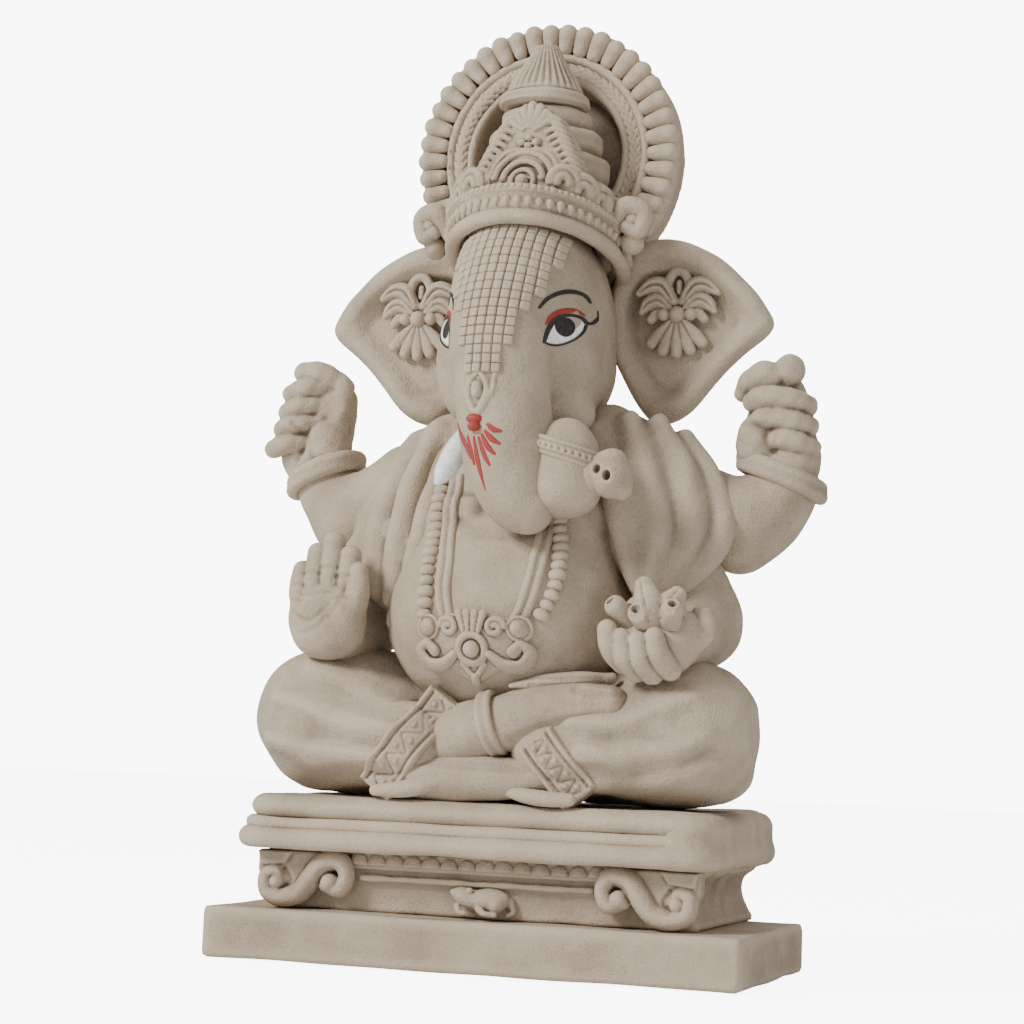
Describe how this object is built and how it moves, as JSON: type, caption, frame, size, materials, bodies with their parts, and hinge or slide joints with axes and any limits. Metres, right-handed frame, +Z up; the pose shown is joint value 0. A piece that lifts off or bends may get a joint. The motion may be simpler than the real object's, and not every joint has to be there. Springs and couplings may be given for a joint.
{
  "type": "ganesha idol",
  "caption": "Seated four-armed elephant-headed figure in unfired clay on a scroll-legged bench and plinth, with a petalled halo behind the crown.",
  "frame": {"origin": "middle of the plinth's flat underside", "axes": "+Z up, -Y the way the idol faces, +X to the right of someone looking at its front"},
  "size_m": [0.1761, 0.0962, 0.3],
  "materials": {
    "clay": "matt unfired clay, fine sandy grain",
    "white_paint": "brushed white poster paint, satin",
    "black_paint": "brushed black poster paint, satin",
    "red_paint": "brushed red poster paint, satin"
  },
  "bodies": {
    "root": {"anklet": "clay", "bead_string": "clay", "bench_body": "clay", "bench_frieze": "clay", "bench_rail": "clay", "bench_scroll_left": "clay", "bench_scroll_right": "clay", "blessing_arm": "clay", "blessing_hand": "clay", "bracelet_left": "clay", "bracelet_right": "clay", "crown_crest": "clay", "crown_curl_left": "clay", "crown_curl_right": "clay", "crown_finial": "clay", "crown_tiers": "clay", "ear_flower_left": "clay", "ear_flower_right": "clay", "ear_left": "clay", "ear_right": "clay", "eye_left": "white_paint", "eye_right": "white_paint", "foot_over": "clay", "foot_under": "clay", "forehead_jewel": "red_paint", "forehead_netting": "clay", "halo_disc": "clay", "halo_petals": "clay", "halo_rope": "clay", "head": "clay", "hem_band_left": "clay", "hem_band_right": "clay", "leg_left": "clay", "leg_right": "clay", "mouse": "clay", "necklace_band": "clay", "offering_arm": "clay", "offering_hand": "clay", "pendant": "clay", "plinth": "clay", "pupil_left": "black_paint", "pupil_right": "black_paint", "raised_arm_left": "clay", "raised_arm_right": "clay", "raised_hand_left": "clay", "raised_hand_right": "clay", "sash_fold": "clay", "seat_cushion": "clay", "seat_lower_moulding": "clay", "seat_middle_moulding": "clay", "shawl_left": "clay", "shawl_right": "clay", "sweets": "clay", "tiara_band": "clay", "torso": "clay", "trunk": "clay", "trunk_band": "clay", "trunk_curl": "clay", "trunk_tip": "clay", "tusk": "white_paint"}
  },
  "joints": []
}
